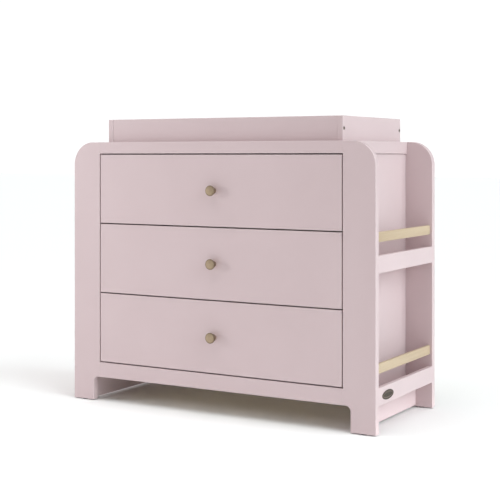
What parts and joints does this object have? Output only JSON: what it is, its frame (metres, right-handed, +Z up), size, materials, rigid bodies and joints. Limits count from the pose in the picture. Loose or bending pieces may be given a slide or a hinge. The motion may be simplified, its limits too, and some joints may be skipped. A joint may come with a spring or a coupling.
{
  "type": "changing table",
  "caption": "Nursery dresser with drawers, a raised changing tray on top and open shelf bays with guard rails at both ends.",
  "frame": {"origin": "on the floor, at the middle of the footprint (knobs included)", "axes": "+X to the right along the drawer fronts, +Y from the front to the back, +Z up"},
  "size_m": [1.1115, 0.4912, 0.9386],
  "materials": {
    "painted_wood": "satin blush paint",
    "bare_board": "clear-coated board",
    "natural_wood": "matte clear lacquer",
    "champagne_metal": "brushed champagne",
    "bronze": "aged bronze",
    "bronze_bolt": "antique",
    "runner_steel": "epoxy-coated white steel",
    "zinc_screw": "zinc plated",
    "nylon": "moulded nylon",
    "dark_plastic": "moulded plastic"
  },
  "bodies": {
    "cabinet": {"front_left_stile": "painted_wood", "front_right_stile": "painted_wood", "front_top_rail": "painted_wood", "front_bottom_rail": "painted_wood", "rear_left_stile": "painted_wood", "rear_right_stile": "painted_wood", "rear_top_rail": "painted_wood", "rear_bottom_rail": "painted_wood", "left_side_panel": "painted_wood", "right_side_panel": "painted_wood", "back_panel": "bare_board", "bottom_panel": "bare_board", "top_board": "painted_wood", "left_base_panel": "painted_wood", "right_base_panel": "painted_wood", "upper_bay_shelves": "painted_wood", "lower_bay_shelves": "painted_wood", "left_upper_apron": "painted_wood", "left_lower_apron": "painted_wood", "right_upper_apron": "painted_wood", "right_lower_apron": "painted_wood", "left_upper_guard_rail": "natural_wood", "left_lower_guard_rail": "natural_wood", "right_upper_guard_rail": "natural_wood", "right_lower_guard_rail": "natural_wood", "badge": "bronze", "glides": "dark_plastic", "cabinet_runners": "runner_steel", "runner_screws": "zinc_screw", "topper_front_rail": "painted_wood", "topper_rear_rail": "painted_wood", "topper_left_end": "painted_wood", "topper_right_end": "painted_wood", "topper_bolts": "bronze_bolt", "topper_brackets": "runner_steel", "topper_screws": "zinc_screw"},
    "bottom_drawer": {"bottom_drawer_front": "painted_wood", "bottom_drawer_sides": "bare_board", "bottom_drawer_back": "bare_board", "bottom_drawer_bottom": "bare_board", "bottom_drawer_runners": "runner_steel", "bottom_drawer_knob": "champagne_metal"},
    "bottom_drawer_roller_pair": {"bottom_drawer_rollers": "nylon"},
    "bottom_cabinet_roller_pair": {"bottom_cabinet_rollers": "nylon"},
    "middle_drawer": {"middle_drawer_front": "painted_wood", "middle_drawer_sides": "bare_board", "middle_drawer_back": "bare_board", "middle_drawer_bottom": "bare_board", "middle_drawer_runners": "runner_steel", "middle_drawer_knob": "champagne_metal"},
    "middle_drawer_roller_pair": {"middle_drawer_rollers": "nylon"},
    "middle_cabinet_roller_pair": {"middle_cabinet_rollers": "nylon"},
    "top_drawer": {"top_drawer_front": "painted_wood", "top_drawer_sides": "bare_board", "top_drawer_back": "bare_board", "top_drawer_bottom": "bare_board", "top_drawer_runners": "runner_steel", "top_drawer_knob": "champagne_metal"},
    "top_drawer_roller_pair": {"top_drawer_rollers": "nylon"},
    "top_cabinet_roller_pair": {"top_cabinet_rollers": "nylon"}
  },
  "joints": [
    {"name": "bottom_drawer_slide", "type": "slide", "parent": "cabinet", "child": "bottom_drawer", "axis": [0, -1, 0], "range_m": [0, 0.3]},
    {"name": "bottom_cabinet_roller_spin", "type": "hinge", "parent": "cabinet", "child": "bottom_cabinet_roller_pair", "pos_m": [0, -0.18465, 0.1635], "axis": [1, 0, 0], "range_deg": [0, 2025]},
    {"name": "bottom_drawer_roller_spin", "type": "hinge", "parent": "bottom_drawer", "child": "bottom_drawer_roller_pair", "pos_m": [0, 0.18885, 0.163], "axis": [1, 0, 0], "range_deg": [0, 2025]},
    {"name": "middle_drawer_slide", "type": "slide", "parent": "cabinet", "child": "middle_drawer", "axis": [0, -1, 0], "range_m": [0, 0.3]},
    {"name": "middle_cabinet_roller_spin", "type": "hinge", "parent": "cabinet", "child": "middle_cabinet_roller_pair", "pos_m": [0, -0.18465, 0.39403], "axis": [1, 0, 0], "range_deg": [0, 2025]},
    {"name": "middle_drawer_roller_spin", "type": "hinge", "parent": "middle_drawer", "child": "middle_drawer_roller_pair", "pos_m": [0, 0.18885, 0.39353], "axis": [1, 0, 0], "range_deg": [0, 2025]},
    {"name": "top_drawer_slide", "type": "slide", "parent": "cabinet", "child": "top_drawer", "axis": [0, -1, 0], "range_m": [0, 0.3]},
    {"name": "top_cabinet_roller_spin", "type": "hinge", "parent": "cabinet", "child": "top_cabinet_roller_pair", "pos_m": [0, -0.18465, 0.62457], "axis": [1, 0, 0], "range_deg": [0, 2025]},
    {"name": "top_drawer_roller_spin", "type": "hinge", "parent": "top_drawer", "child": "top_drawer_roller_pair", "pos_m": [0, 0.18885, 0.62407], "axis": [1, 0, 0], "range_deg": [0, 2025]}
  ],
  "couplings": [
    {"joint": "bottom_cabinet_roller_spin", "follows": "bottom_drawer_slide", "rad_per_m": 117.65},
    {"joint": "bottom_drawer_roller_spin", "follows": "bottom_drawer_slide", "rad_per_m": 117.65},
    {"joint": "middle_cabinet_roller_spin", "follows": "middle_drawer_slide", "rad_per_m": 117.65},
    {"joint": "middle_drawer_roller_spin", "follows": "middle_drawer_slide", "rad_per_m": 117.65},
    {"joint": "top_cabinet_roller_spin", "follows": "top_drawer_slide", "rad_per_m": 117.65},
    {"joint": "top_drawer_roller_spin", "follows": "top_drawer_slide", "rad_per_m": 117.65}
  ]
}
